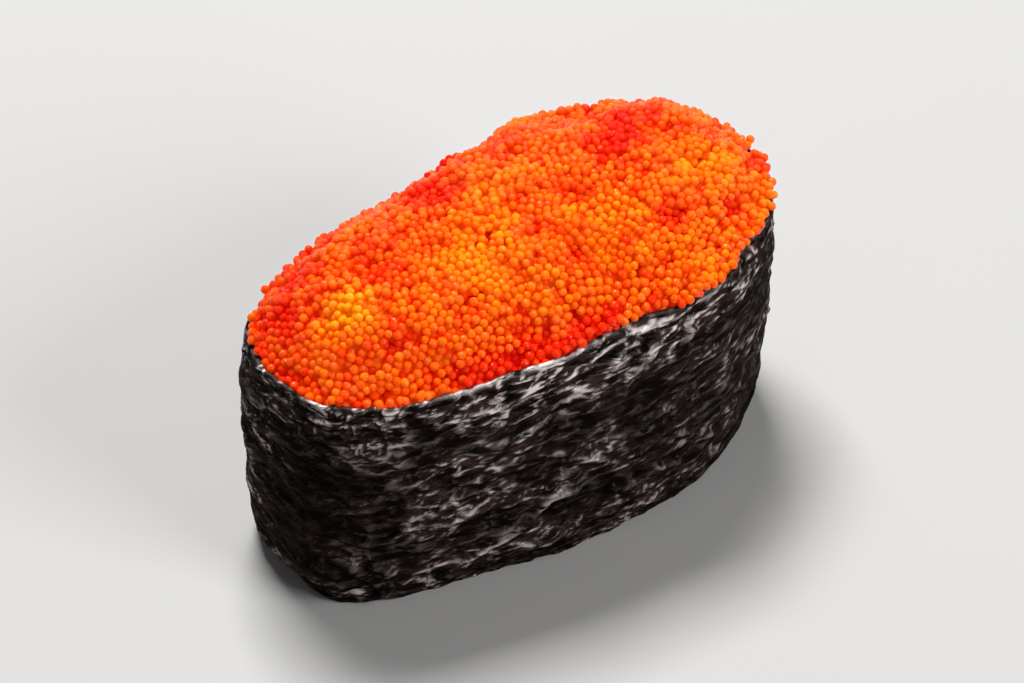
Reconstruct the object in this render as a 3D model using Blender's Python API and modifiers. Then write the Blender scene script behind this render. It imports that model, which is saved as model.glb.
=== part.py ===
"""Gunkan sushi: a strip of nori wrapped round a block of rice, with a heap of fish roe in its top.

Blender 4.5, metres, +Z up. The long way lies along X, and the wider, rounder end is at +X.
The origin is under the middle of the piece, on the surface that it stands on.
"""

import math

import bpy
from mathutils import Vector, noise

# The nori's outer face in plan. It is a superellipse whose ends differ, widening towards +X.
LENGTH = 0.0530
MID_WIDTH = 0.0290
WIDENING = 0.16  # share of the width gained at +X
NARROWING = 0.32  # share of the width lost at -X
NARROW_END_POWER = 4.2  # blunt, with soft corners
WIDE_END_POWER = 2.2  # nearly round

# The nori's outer face from the side.
BAND_HEIGHT = 0.0262
NORI_THICKNESS = 0.0005
TUCK_HEIGHT = 0.0070  # the lower edge curls in under the rice from here down
TUCK_DEPTH = 0.0020
TUCK_START = math.radians(12)  # angle on the curl where the strip's lower edge lies
LEAN = 0.0002  # how much narrower the wall is at its foot than at its rim
LEAN_AT_WIDE_END = 0.0014
LEAN_CHANGES_FROM = 0.2  # share of the half length towards +X

# The strip's outer end lies over its inner end on the +Y side.
OVERLAP = 0.0110
OVERLAP_START = 0.21  # share of the way round, counted from +X towards +Y
LAYER_GAP = 0.0003
RAMP = 0.0120  # length over which the strip comes out from under its outer end
INNER_END_RAMP = 0.0030  # the filling gives way to the strip's inner end over this length

# Crumpling of the damp nori.
CRUMPLE_DEPTH = 0.00035
CRUMPLE_SIZE = 0.0070
CRUMPLE_FLATNESS = 1.6  # how much shorter the crumples are up the wall than along it
RIM_WAVE = 0.0004
RIM_WAVE_LENGTH = 0.0090

# Rice and roe inside the band.
CLEARANCE = 0.0003
RICE_TOP = 0.0175
RICE_EDGE = 0.0010  # softening of the rice's upper edge
FOOT_END = math.radians(36)  # angle on the curl where the rice's foot meets its side
ROE_RISE = 0.0062  # crown of the heap above the rim
ROE_EDGE_POWER = 4.0  # high values make a flat top with a steep edge
ROE_SHOULDER = 0.0006  # the heap meets the nori this far below the rim
LUMP_HEIGHT = 0.0006
LUMP_SIZE = 0.0036
LUMPS_FADE = 0.20  # the lumps die out over this share of the way to the heap's edge
SPINE_HALF = 0.0125  # the heap's rows close in on a line this long each way
SPINE_SHARE = 0.06  # the innermost row's share of the way out from that line

# Mounds and hollows on the heap: place along X and Y, height, and reach.
MOUNDS = (
    (0.0190, 0.0050, 0.0005, 0.0032),
    (0.0225, 0.0012, -0.0007, 0.0028),
    (0.0230, -0.0055, 0.0012, 0.0032),
    (0.0145, 0.0090, -0.0024, 0.0048),
    (-0.0030, 0.0010, 0.0004, 0.0060),
    (-0.0180, 0.0060, -0.0008, 0.0060),
    (-0.0170, -0.0045, 0.0006, 0.0045),
)

AROUND = 84  # points round every ring
FINE_OUTLINE = 1440  # points of the outline that distances are read from

NORI_ROWS_ON_CURL = 4
NORI_ROWS_ON_WALL = 6
RICE_ROWS_ON_CURL = 4
RICE_ROWS_ON_WALL = 3
ROE_ROWS_ON_DOME = 20
ROE_ROWS_CLUSTER = 1.3  # above 1, the rows stand closer together on the steep edge


def clear_scene():
    for thing in list(bpy.data.objects):
        bpy.data.objects.remove(thing)


def material(name, colour, roughness):
    """A Principled material of one colour."""
    made = bpy.data.materials.new(name)
    made.use_nodes = True
    shader = made.node_tree.nodes["Principled BSDF"]
    shader.inputs["Base Color"].default_value = (*colour, 1.0)
    shader.inputs["Roughness"].default_value = roughness
    shader.inputs["Metallic"].default_value = 0.0
    made.diffuse_color = (*colour, 1.0)
    return made


def signed_power(value, power):
    return math.copysign(abs(value) ** power, value)


def plan_point(turn):
    """A point of the nori's outer face at the rim, at this angle round the piece."""
    along, across = math.cos(turn), math.sin(turn)
    power = 2.0 / (NARROW_END_POWER if along < 0 else WIDE_END_POWER)
    share = signed_power(along, power)
    half_width = MID_WIDTH / 2 * (1 + (NARROWING if along < 0 else WIDENING) * share)
    return Vector((LENGTH / 2 * share, half_width * signed_power(across, power)))


def measured_outline():
    """The outline as closely spaced points, each with the distance travelled to it."""
    points = [plan_point(2 * math.pi * i / FINE_OUTLINE) for i in range(FINE_OUTLINE + 1)]
    travelled = [0.0]
    for before, after in zip(points, points[1:]):
        travelled.append(travelled[-1] + (after - before).length)
    return points, travelled


OUTLINE, TRAVELLED = measured_outline()
GIRTH = TRAVELLED[-1]
INNER_END = GIRTH * OVERLAP_START


def on_outline(distance):
    """(point, outward normal) at a distance along the outline, which may go round more than once."""
    wanted = distance % GIRTH
    low, high = 0, FINE_OUTLINE
    while high - low > 1:
        middle = (low + high) // 2
        low, high = (middle, high) if TRAVELLED[middle] <= wanted else (low, middle)
    step = OUTLINE[high] - OUTLINE[low]
    share = (wanted - TRAVELLED[low]) / (TRAVELLED[high] - TRAVELLED[low])
    return OUTLINE[low] + step * share, Vector((step.y, -step.x)).normalized()


def smooth_step(value):
    held = min(1.0, max(0.0, value))
    return held * held * (3 - 2 * held)


def lean_at(point):
    """How far the wall's foot stands in from its rim: most at the wide end."""
    along = point.x / (LENGTH / 2)
    towards_wide_end = smooth_step((along - LEAN_CHANGES_FROM) / (1 - LEAN_CHANGES_FROM))
    return LEAN + (LEAN_AT_WIDE_END - LEAN) * towards_wide_end


def wall_point(distance, height, curl, inside):
    """A point on a skin that lies a given depth inside the nori's outer face.

    curl is 0 on the wall and grows to 1 where the skin would lie flat under the rice.
    """
    point, normal = on_outline(distance)
    inset = inside + TUCK_DEPTH * curl + lean_at(point) * (1 - height / BAND_HEIGHT)
    place = point - normal * inset
    return Vector((place.x, place.y, height))


def crumple_at(distance, height):
    """The nori's crumpling at a place on the strip, outwards."""
    point, _ = on_outline(distance)
    spot = Vector((point.x, point.y, height * CRUMPLE_FLATNESS))
    return CRUMPLE_DEPTH * noise.noise(spot / CRUMPLE_SIZE)


def curl_rows(count, start):
    """(height, curl) of rows that climb the rounded lower edge."""
    angles = [start + (math.pi / 2 - start) * i / count for i in range(count)]
    return [(TUCK_HEIGHT * (1 - math.cos(a)), 1 - math.sin(a)) for a in angles]


def wall_rows(count, top):
    """(height, curl) of rows from the rounded lower edge up to the top."""
    return [(TUCK_HEIGHT + (top - TUCK_HEIGHT) * i / count, 0.0) for i in range(count + 1)]


def sunk_under(run):
    """How far the strip lies inside the outline, a given run from its inner end."""
    return (NORI_THICKNESS + LAYER_GAP) * (1 - smooth_step((run - OVERLAP) / RAMP))


def nori_band(band_material, parts):
    """The strip is a flat grid, wrapped round the outline and over its own start."""
    rows = curl_rows(NORI_ROWS_ON_CURL, TUCK_START) + wall_rows(NORI_ROWS_ON_WALL, BAND_HEIGHT)
    last_row = len(rows) - 1
    strip_length = GIRTH + OVERLAP
    columns = round(AROUND * strip_length / GIRTH)

    bpy.ops.mesh.primitive_grid_add(x_subdivisions=columns, y_subdivisions=last_row, size=1)
    band = bpy.context.object
    for vertex in band.data.vertices:
        run = strip_length * (vertex.co.x + 0.5)
        height, curl = rows[round((vertex.co.y + 0.5) * last_row)]
        distance = INNER_END + run
        inside = sunk_under(run) - crumple_at(distance, height)
        spot = wall_point(distance, height, curl, inside)
        wave = noise.noise(Vector((spot.x, spot.y, 0.0)) / RIM_WAVE_LENGTH)
        spot.z += RIM_WAVE * wave * height / BAND_HEIGHT
        vertex.co = spot
    finish(band, "nori_band", band_material, parts)

    wall = band.modifiers.new("Thickness", "SOLIDIFY")
    wall.thickness = NORI_THICKNESS
    wall.offset = -1
    wall.use_even_offset = True


def filling_ring(height, curl, inside=0.0):
    """A level ring that fills the band up to a clearance, or further in than that."""
    ring = []
    for i in range(AROUND):
        distance = GIRTH * i / AROUND
        run = (distance - INNER_END) % GIRTH
        layer = sunk_under(run)
        before_end = smooth_step((run - GIRTH + INNER_END_RAMP) / INNER_END_RAMP)
        layer += (NORI_THICKNESS + LAYER_GAP) * before_end
        depth = NORI_THICKNESS + CLEARANCE + layer - crumple_at(distance, height)
        ring.append(wall_point(distance, height, curl, depth + inside))
    return ring


def closing_faces(first, count):
    """Faces across a long ring, seen from above, from its +X end to its -X end."""
    faces = [(first, first + 1, first + count - 1)]
    for i in range(1, count // 2 - 1):
        faces.append((first + i, first + i + 1, first + count - i - 1, first + count - i))
    middle = first + count // 2
    faces.append((middle - 1, middle, middle + 1))
    return faces


def loft(name, rings, its_material, parts):
    """A closed body through rings of equal counts, lowest first, with its two ends filled."""
    count = len(rings[0])
    points = [spot for ring in rings for spot in ring]
    faces = [tuple(reversed(face)) for face in closing_faces(0, count)]
    for level in range(len(rings) - 1):
        low, high = level * count, (level + 1) * count
        for i in range(count):
            after = (i + 1) % count
            faces.append((low + i, low + after, high + after, high + i))
    faces += closing_faces((len(rings) - 1) * count, count)

    mesh = bpy.data.meshes.new(name)
    mesh.from_pydata(points, [], faces)
    body = bpy.data.objects.new(name, mesh)
    bpy.context.scene.collection.objects.link(body)
    finish(body, name, its_material, parts)


def finish(thing, name, its_material, parts):
    """Names an object, gives it its material and smooth faces, and puts it in the collection."""
    thing.name = name
    thing.data.name = name
    thing.data.materials.append(its_material)
    thing.data.shade_smooth()
    for holder in list(thing.users_collection):
        holder.objects.unlink(thing)
    parts.objects.link(thing)


def rice_block(rice_material, parts):
    """The pressed rice: a flat foot in the band's lower opening, and a block that fills the band."""
    foot_curl = 1 - math.sin(TUCK_START)
    foot_height = TUCK_HEIGHT * (1 - math.cos(TUCK_START)) + NORI_THICKNESS + CLEARANCE
    rings = [filling_ring(0.0, foot_curl), filling_ring(foot_height, foot_curl)]
    for height, curl in curl_rows(RICE_ROWS_ON_CURL, FOOT_END):
        rings.append(filling_ring(height + CLEARANCE, curl))
    for height, curl in wall_rows(RICE_ROWS_ON_WALL, RICE_TOP - RICE_EDGE):
        rings.append(filling_ring(height, curl))
    rings.append(filling_ring(RICE_TOP, 0.0, RICE_EDGE))
    loft("rice", rings, rice_material, parts)


def heap_height(x, y, share):
    """Top of the heap at a place, which is a share of the way out from its spine to its edge."""
    crown = (ROE_RISE + ROE_SHOULDER) * (1 - share**ROE_EDGE_POWER)
    uneven = LUMP_HEIGHT * noise.noise(Vector((x, y, 0.0)) / LUMP_SIZE)
    for mound_x, mound_y, height, reach in MOUNDS:
        away = math.hypot(x - mound_x, y - mound_y) / reach
        uneven += height * math.exp(-away * away)
    return BAND_HEIGHT - ROE_SHOULDER + crown + uneven * smooth_step((1 - share) / LUMPS_FADE)


def roe_heap(roe_material, parts):
    """The heap fills the top of the band, rises over its rim and is crowned with uneven lumps."""
    floor = RICE_TOP + CLEARANCE
    shoulder = BAND_HEIGHT - ROE_SHOULDER
    rings = [filling_ring(floor, 0.0, RICE_EDGE), filling_ring(floor + RICE_EDGE, 0.0)]
    rings.append(filling_ring((floor + shoulder) / 2, 0.0))
    edge = filling_ring(shoulder, 0.0)
    for level in range(ROE_ROWS_ON_DOME):
        inwards = (level / (ROE_ROWS_ON_DOME - 1)) ** ROE_ROWS_CLUSTER
        share = 1 - (1 - SPINE_SHARE) * inwards
        ring = []
        for spot in edge:
            spine = Vector((max(-SPINE_HALF, min(SPINE_HALF, spot.x)), 0.0))
            place = spine + (spot.xy - spine) * share
            ring.append(Vector((*place, heap_height(*place, share))))
        rings.append(ring)
    loft("roe_heap", rings, roe_material, parts)


def stand_on_origin(parts):
    """Moves every mesh so that the origin is at the bottom centre of the whole piece."""
    bpy.context.view_layer.update()
    depsgraph = bpy.context.evaluated_depsgraph_get()
    corners = []
    for thing in parts.objects:
        corners += [Vector(corner) for corner in thing.evaluated_get(depsgraph).bound_box]
    low = Vector(map(min, *corners))
    high = Vector(map(max, *corners))
    shift = Vector(((low.x + high.x) / 2, (low.y + high.y) / 2, low.z))
    for thing in parts.objects:
        for vertex in thing.data.vertices:
            vertex.co -= shift


def main():
    clear_scene()
    parts = bpy.data.collections.new("Gunkan sushi")
    bpy.context.scene.collection.children.link(parts)
    nori_band(material("Nori", (0.012, 0.010, 0.009), 0.35), parts)
    rice_block(material("Rice", (0.86, 0.84, 0.78), 0.5), parts)
    roe_heap(material("Roe", (0.90, 0.16, 0.01), 0.2), parts)
    stand_on_origin(parts)


main()
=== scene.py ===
"""Gunkan sushi: a wrinkled nori wrap, a heap of fish roe and the pressed rice below it.

Laid out as a Blender 4.5 add-on and run as a script. Metres, +Z up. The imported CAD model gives
every place: the nori follows the band, the eggs settle on the heap and the grains fill the foot.
"""

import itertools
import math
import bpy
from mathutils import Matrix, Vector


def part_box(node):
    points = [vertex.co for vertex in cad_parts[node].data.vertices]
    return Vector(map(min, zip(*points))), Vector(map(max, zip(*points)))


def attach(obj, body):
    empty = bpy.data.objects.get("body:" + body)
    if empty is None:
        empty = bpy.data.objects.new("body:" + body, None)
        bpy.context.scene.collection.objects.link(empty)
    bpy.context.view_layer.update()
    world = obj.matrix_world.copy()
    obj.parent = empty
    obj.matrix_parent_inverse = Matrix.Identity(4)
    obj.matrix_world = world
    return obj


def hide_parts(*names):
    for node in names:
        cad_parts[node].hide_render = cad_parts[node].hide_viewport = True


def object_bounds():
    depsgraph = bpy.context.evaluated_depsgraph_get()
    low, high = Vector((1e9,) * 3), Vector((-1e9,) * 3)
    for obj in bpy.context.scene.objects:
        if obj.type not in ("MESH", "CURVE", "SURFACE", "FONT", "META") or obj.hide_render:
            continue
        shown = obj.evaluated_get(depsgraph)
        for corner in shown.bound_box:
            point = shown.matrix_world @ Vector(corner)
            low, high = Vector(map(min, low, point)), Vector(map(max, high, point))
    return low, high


bl_info = {
    "name": "Gunkan Sushi",
    "version": (1, 0, 0),
    "blender": (4, 5, 0),
    "location": "View3D > Sidebar > Sushi",
    "description": "Builds a piece of gunkan sushi with fish roe on its packed frame",
    "category": "Add Mesh",
}

import bpy
import numpy as np
from mathutils import Vector, noise
from mathutils.bvhtree import BVHTree
from mathutils.kdtree import KDTree

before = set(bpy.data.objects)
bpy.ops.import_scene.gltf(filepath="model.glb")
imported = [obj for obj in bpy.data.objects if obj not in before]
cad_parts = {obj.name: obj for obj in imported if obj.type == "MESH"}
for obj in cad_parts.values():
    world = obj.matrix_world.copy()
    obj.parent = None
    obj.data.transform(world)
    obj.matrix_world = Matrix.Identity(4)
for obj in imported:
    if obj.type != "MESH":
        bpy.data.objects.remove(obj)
CAD_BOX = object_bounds()
BAND_LOW, BAND_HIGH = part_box("nori_band")
ROE_LOW, ROE_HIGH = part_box("roe_heap")
RICE_LOW, RICE_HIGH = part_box("rice")
RIM = BAND_HIGH.z
MM = 0.001


# ---------------------------------------------------------------- settings


class GunkanNoriSettings(bpy.types.PropertyGroup):
    """The nori wrap."""

    thickness: bpy.props.FloatProperty(
        name="Thickness",
        description="Thickness of the damp nori sheet",
        default=0.3 * MM,
        unit="LENGTH",
    )
    wrinkle_depth: bpy.props.FloatProperty(
        name="Wrinkle depth",
        description="Depth of the wrinkles and lumps that run along the strip",
        default=0.72 * MM,
        unit="LENGTH",
    )
    dent_depth: bpy.props.FloatProperty(
        name="Dent depth",
        description="Depth of the broad dents",
        default=0.30 * MM,
        unit="LENGTH",
    )
    colour: bpy.props.FloatVectorProperty(
        name="Colour",
        description="Colour of the nori between its wrinkles",
        default=(0.0038, 0.0023, 0.0019),
        subtype="COLOR",
    )
    # Partly the fibres' own mottling and partly a painted sheen.
    mottle_and_sheen_colour: bpy.props.FloatVectorProperty(
        name="Marble colour",
        description="Colour of the drier fibres that mottle the nori",
        default=(0.066, 0.040, 0.034),
        subtype="COLOR",
    )
    # Painted highlights: the colour painted on the ridge crests as glints and along the cut edge as a
    # highlight.
    painted_glint_colour: bpy.props.FloatVectorProperty(
        name="Glint colour",
        description="Colour of the wet, stretched ridges and of the cut edge",
        default=(0.88, 0.77, 0.73),
        subtype="COLOR",
    )


class GunkanRoeSettings(bpy.types.PropertyGroup):
    """The heap of fish roe."""

    egg: bpy.props.FloatProperty(
        name="Egg",
        description="Diameter of an egg",
        default=0.84 * MM,
        unit="LENGTH",
    )
    lump_height: bpy.props.FloatProperty(
        name="Lump height",
        description="How far the small lumps of the heap stand out of its outline",
        default=0.65 * MM,
        unit="LENGTH",
    )
    seed: bpy.props.IntProperty(
        name="Seed",
        description="Start of the random draws for the eggs",
        default=7,
    )


class GunkanRiceSettings(bpy.types.PropertyGroup):
    """The rice that shows below."""

    grain: bpy.props.FloatProperty(
        name="Grain",
        description="Length of a cooked grain",
        default=5.4 * MM,
        unit="LENGTH",
    )
    seed: bpy.props.IntProperty(
        name="Seed",
        description="Start of the random draws for the grains",
        default=3,
    )


class GunkanStageSettings(bpy.types.PropertyGroup):
    """Floor, lights and camera."""

    azimuth: bpy.props.FloatProperty(
        name="Azimuth",
        description="Direction that the camera stands in, from the -Y side",
        default=math.radians(-35.6),
        subtype="ANGLE",
    )
    elevation: bpy.props.FloatProperty(
        name="Elevation",
        description="Height of the camera above the horizon",
        default=math.radians(44.0),
        subtype="ANGLE",
    )
    distance: bpy.props.FloatProperty(
        name="Distance",
        description="From the camera to the middle of the piece",
        default=0.55,
        unit="LENGTH",
    )
    floor_colour: bpy.props.FloatVectorProperty(
        name="Floor colour",
        description="Colour of the plain floor",
        default=(0.50, 0.495, 0.49),
        subtype="COLOR",
    )


# ---------------------------------------------------------------- materials


class Value:
    """A socket's value, on which Python's operators add Math nodes."""

    def __init__(self, finish, socket):
        self.finish = finish
        self.socket = socket

    def maths(self, operation, first, second):
        return self.finish.node("Math", {0: first, 1: second}, operation=operation)

    def __add__(self, other):
        return self.maths("ADD", self, other)

    def __radd__(self, other):
        return self.maths("ADD", other, self)

    def __sub__(self, other):
        return self.maths("SUBTRACT", self, other)

    def __rsub__(self, other):
        return self.maths("SUBTRACT", other, self)

    def __mul__(self, other):
        return self.maths("MULTIPLY", self, other)

    def __rmul__(self, other):
        return self.maths("MULTIPLY", other, self)

    def __pow__(self, other):
        return self.maths("POWER", self, other)

    def between(self, low, high):
        """0 below low, 1 above high, and smooth between them."""
        return self.finish.node(
            "MapRange",
            {"Value": self, "From Min": low, "From Max": high},
            interpolation_type="SMOOTHSTEP",
        )


class Finish:
    """A Principled material. Its method node is the one way in which it gets nodes."""

    def __init__(self, name, view_colour, **fixed):
        self.material = bpy.data.materials.new(name)
        self.material.use_nodes = True
        self.material.diffuse_color = (*view_colour, 1.0)
        self.tree = self.material.node_tree
        self.shader = self.tree.nodes["Principled BSDF"]
        for name_of_socket, value in fixed.items():
            self.shader.inputs[name_of_socket.replace("_", " ")].default_value = value

    def node(self, kind, inputs, output=0, stops=None, **settings):
        """Adds a node with its settings first, then its sockets' values or links."""
        made = self.tree.nodes.new("ShaderNode" + kind)
        for name, value in settings.items():
            setattr(made, name, value)
        if stops:
            elements = made.color_ramp.elements
            while len(elements) < len(stops):
                elements.new(0.5)
            for element, (place, colour) in zip(elements, stops):
                element.position = place
                element.color = (*colour, 1.0)
        for name, value in inputs.items():
            if isinstance(value, Value):
                self.tree.links.new(value.socket, made.inputs[name])
            else:
                made.inputs[name].default_value = value
        return Value(self, made.outputs[output])

    def feed(self, name, value):
        """Links a value to one of the Principled shader's sockets."""
        self.tree.links.new(value.socket, self.shader.inputs[name])

    def attribute(self, name):
        return self.node("Attribute", {}, output="Fac", attribute_name=name)

    def place(self):
        """Object coordinates."""
        return self.node("TexCoord", {}, output="Object")

    def stretched(self, place, scale, turn=(0.0, 0.0, 0.0)):
        inputs = {"Vector": place, "Scale": scale, "Rotation": turn}
        return self.node("Mapping", inputs)

    def noise(self, place, size, detail=2.0, roughness=0.5, distortion=0.0):
        """Noise about 0.5, with features of this size in metres."""
        inputs = {
            "Vector": place,
            "Scale": 1.0 / size,
            "Detail": detail,
            "Roughness": roughness,
            "Distortion": distortion,
        }
        return self.node("TexNoise", inputs, output="Fac")

    def blend(self, share, first, second):
        """A colour between two colours."""
        inputs = {"Factor": share, 6: first, 7: second}
        return self.node("Mix", inputs, output=2, data_type="RGBA")

    def bump(self, height, depth, strength=1.0, under=None):
        """A normal from a height between 0 and 1 that stands for this depth in metres."""
        inputs = {"Height": height, "Distance": depth, "Strength": strength}
        if under:
            inputs["Normal"] = under
        return self.node("Bump", inputs)


def opaque(colour):
    return (*colour, 1.0)


def nori_finish(settings):
    """Damp nori: near-black and fibrous, wet where it faces up, with painted glints on its ridges and a
    painted highlight along its cut edge.
    """
    finish = Finish("Damp nori", settings.colour, Specular_IOR_Level=0.01, Coat_Roughness=0.22)
    strip = finish.node("UVMap", {}, uv_map="Strip")
    along = finish.stretched(strip, (0.40, 1.0, 1.0))
    fibre = finish.noise(along, 0.30 * MM, 3.0, 0.65, 0.5)
    streak = finish.noise(along, 0.85 * MM, 3.0, 0.6, 0.5)
    patch = finish.noise(finish.stretched(strip, (0.6, 1.0, 1.0)), 3.2 * MM, 2.0)
    crest = finish.attribute("crest")
    edge = finish.attribute("cut_edge_highlight")
    facing = finish.node("TexCoord", {}, output="Normal")
    upward = finish.node("SeparateXYZ", {"Vector": facing}, output="Z").between(0.05, 0.6)

    # Painted glints: the base colour is lighter on the ridge crests, stronger where shine is high,
    # standing in for highlights.
    shine = finish.attribute("shine")
    lit = (patch + 0.20 * shine).between(0.57, 0.76)
    broken = streak.between(0.42, 0.62) * (0.12 + lit)
    glint = crest * broken * shine
    # Mottling, partly the fibres' own tone and partly a painted sheen; where shine is low, as at the
    # narrow end, it is darker: painted shade.
    mottle_and_sheen = (0.3 + 0.7 * fibre.between(0.35, 0.70)) * (0.6 * streak + 0.4 * patch).between(0.40, 0.64)
    mottle_and_sheen = mottle_and_sheen * (0.35 + 0.85 * shine)
    colour = finish.blend(mottle_and_sheen, opaque(settings.colour), opaque(settings.mottle_and_sheen_colour))
    # Painted highlights, the glints and the cut edge's highlight, are mixed into the base colour.
    bright = glint + edge * streak.between(0.36, 0.52)
    colour = finish.blend(bright, colour, opaque(settings.painted_glint_colour))
    finish.feed("Base Color", colour)
    finish.feed("Roughness", 0.60 - 0.25 * glint)
    finish.feed("Coat Weight", upward * 0.55 * crest + 0.6 * glint)
    coarse = finish.bump(streak, 0.70 * MM, 1.0)
    finish.feed("Normal", finish.bump(fibre, 0.20 * MM, 1.0, coarse))
    return finish.material


def roe_finish(name, shift):
    """Translucent eggs: glow runs from the red of the gaps to the yellow of the bright tips, partly the
    eggs' own tone and partly painted shade in the gaps and painted light on the tips. The eggs also emit
    their own colour, a painted glow.
    """
    finish = Finish(
        name,
        (0.9, 0.16, 0.01),
        Roughness=0.08,
        Specular_IOR_Level=0.24,
        Emission_Strength=0.19,  # painted glow: the eggs emit light that stands in for what comes through from the eggs around
        Subsurface_Weight=0.85,
        Subsurface_Radius=(1.0, 0.22, 0.04),
        Subsurface_Scale=0.7 * MM,
    )
    place = finish.place()
    patch = finish.noise(place, 5.5 * MM, 2.0)
    small = finish.noise(place, 2.0 * MM, 1.0)
    glow = finish.attribute("glow") + (patch - 0.5) * 0.72 + (small - 0.5) * 0.45 + shift
    stops = (
        (0.00, (0.66, 0.005, 0.000)),
        (0.25, (0.74, 0.024, 0.000)),
        (0.45, (0.78, 0.096, 0.001)),
        (0.65, (0.81, 0.170, 0.001)),
        (1.00, (0.85, 0.330, 0.002)),
    )
    colour = finish.node("ValToRGB", {0: glow}, stops=stops)
    finish.feed("Base Color", colour)
    # Painted glow: the eggs emit their own colour, though they are no lamp.
    finish.feed("Emission Color", colour)
    return finish.material


def rice_finish():
    """Cooked rice: white, faintly translucent, with a satin skin."""
    finish = Finish(
        "Cooked rice",
        (0.86, 0.84, 0.78),
        Roughness=0.38,
        Subsurface_Weight=0.35,
        Subsurface_Radius=(1.0, 0.85, 0.65),
        Subsurface_Scale=0.8 * MM,
    )
    place = finish.place()
    cloud = finish.noise(place, 2.2 * MM, 3.0)
    pore = finish.noise(place, 0.35 * MM, 2.0)
    share = cloud.between(0.35, 0.7)
    finish.feed("Base Color", finish.blend(share, (0.80, 0.77, 0.68, 1), (0.90, 0.89, 0.85, 1)))
    finish.feed("Normal", finish.bump(pore, 0.06 * MM, 0.5))
    return finish.material


def floor_finish(settings):
    """A matt floor, hardly mottled."""
    finish = Finish("Pale floor", settings.floor_colour, Roughness=0.85, Specular_IOR_Level=0.1)
    mottle = finish.noise(finish.place(), 40 * MM, 2.0)
    darker = [0.97 * part for part in settings.floor_colour]
    finish.feed("Base Color", finish.blend(mottle, opaque(settings.floor_colour), opaque(darker)))
    return finish.material


# ---------------------------------------------------------------- modelling helpers


def select_only(thing):
    bpy.ops.object.select_all(action="DESELECT")
    thing.select_set(True)
    bpy.context.view_layer.objects.active = thing


def in_edit_mode(thing, *steps):
    """Runs steps in edit mode on all of a mesh."""
    select_only(thing)
    bpy.ops.object.mode_set(mode="EDIT")
    bpy.ops.mesh.select_all(action="SELECT")
    for step in steps:
        step()
    bpy.ops.object.mode_set(mode="OBJECT")


def apply_modifier(thing, kind, **settings):
    """Adds a modifier and applies it."""
    select_only(thing)
    bpy.ops.object.modifier_add(type=kind)
    made = thing.modifiers[-1]
    for name, value in settings.items():
        setattr(made, name, value)
    bpy.ops.object.modifier_apply(modifier=made.name)


def copy_of_node(node, name):
    """A merged copy of a CAD node's mesh, as a new object at the origin."""
    made = bpy.data.objects.new(name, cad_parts[node].data.copy())
    made.data.name = name
    made.data.materials.clear()
    bpy.context.scene.collection.objects.link(made)
    in_edit_mode(
        made,
        lambda: bpy.ops.mesh.remove_doubles(threshold=0.001 * MM),
        lambda: bpy.ops.mesh.customdata_custom_splitnormals_clear(),
    )
    return made


def points_of(mesh):
    found = np.empty(len(mesh.vertices) * 3, np.float32)
    mesh.vertices.foreach_get("co", found)
    return found.reshape(-1, 3).astype(float)


def normals_of(mesh):
    found = np.empty(len(mesh.vertices) * 3, np.float32)
    mesh.vertices.foreach_get("normal", found)
    return found.reshape(-1, 3).astype(float)


def set_points(mesh, points):
    mesh.vertices.foreach_set("co", np.asarray(points, np.float32).ravel())
    mesh.update()


def set_attribute(mesh, name, values):
    made = mesh.attributes.new(name, "FLOAT", "POINT")
    made.data.foreach_set("value", np.asarray(values, np.float32).ravel())


def tree_of(node):
    """A CAD node's surface, for rays."""
    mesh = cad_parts[node].data
    return BVHTree.FromPolygons(
        [vertex.co.copy() for vertex in mesh.vertices],
        [tuple(face.vertices) for face in mesh.polygons],
    )


def smooth(value):
    held = np.clip(value, 0.0, 1.0)
    return held * held * (3 - 2 * held)


def noise_at(points, size, seed):
    """Perlin noise at an array of points, with features of this size."""
    return np.array([noise.noise(Vector(p)) for p in points / size + 7.31 * seed])


def cells_at(points, size, seed):
    """Distance to the nearest of scattered seeds, in cells, at an array of points."""
    return np.array([noise.voronoi(Vector(p))[0][0] for p in points / size + 5.17 * seed])


def finished(thing, body_material, replaced=()):
    """Gives a piece its material and smooth faces, and ties it to the frame."""
    thing.data.materials.clear()
    thing.data.materials.append(body_material)
    select_only(thing)
    bpy.ops.object.shade_smooth()
    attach(thing, "root")
    if replaced:
        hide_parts(*replaced)


# ---------------------------------------------------------------- nori

COLUMNS, ROWS, INNER_ROWS = 690, 128, 8
CURL_HEIGHT = 7.0 * MM  # the band's lower edge curls in from here down
HIDDEN_END = 10.0 * MM  # how far the strip's inner end runs on under its outer end
BETWEEN_LAYERS = 0.1 * MM
PRESSED_END = 8.0 * MM
BACK_DIP = 1.6 * MM  # the rim is this much lower at the back
WIDE_END_FROM, WIDE_END_BLEND = 17 * MM, 8 * MM
DRAWN_IN = 0.6 * MM  # at the back and the wide end the rim is drawn in this much, under the roe
FAR = 60 * MM


def outer_radius(band, turn, height):
    """From the upright axis out to the band's outer face, or None above its rim."""
    way = Vector((math.cos(turn), math.sin(turn), 0.0))
    start = way * FAR + Vector((0.0, 0.0, height))
    hit = band.ray_cast(start, -way)[0]
    return None if hit is None else hit.xy.length


def even_turns(band, count):
    """Directions that cut the band's outline into equal lengths, from the strip's outer end on."""
    height = RIM * 0.6
    turns = np.linspace(0, 2 * math.pi, 1440, endpoint=False)
    radii = np.array([outer_radius(band, turn, height) for turn in turns])
    # The outer end is the sharpest step out, counted against the direction of the turns.
    end = int(np.argmin(np.roll(radii, -2) - radii)) + 2
    turns, radii = turns[end] + np.linspace(0, 2 * math.pi, 1441), np.roll(radii, -end)
    radii = np.append(radii, radii[-1])
    line = np.stack([radii * np.cos(turns), radii * np.sin(turns)], axis=1)
    travelled = np.append(0.0, np.cumsum(np.linalg.norm(np.diff(line, axis=0), axis=1)))
    wanted = np.linspace(0, travelled[-1], count)
    return np.interp(wanted, travelled, turns), travelled[-1]


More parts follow.
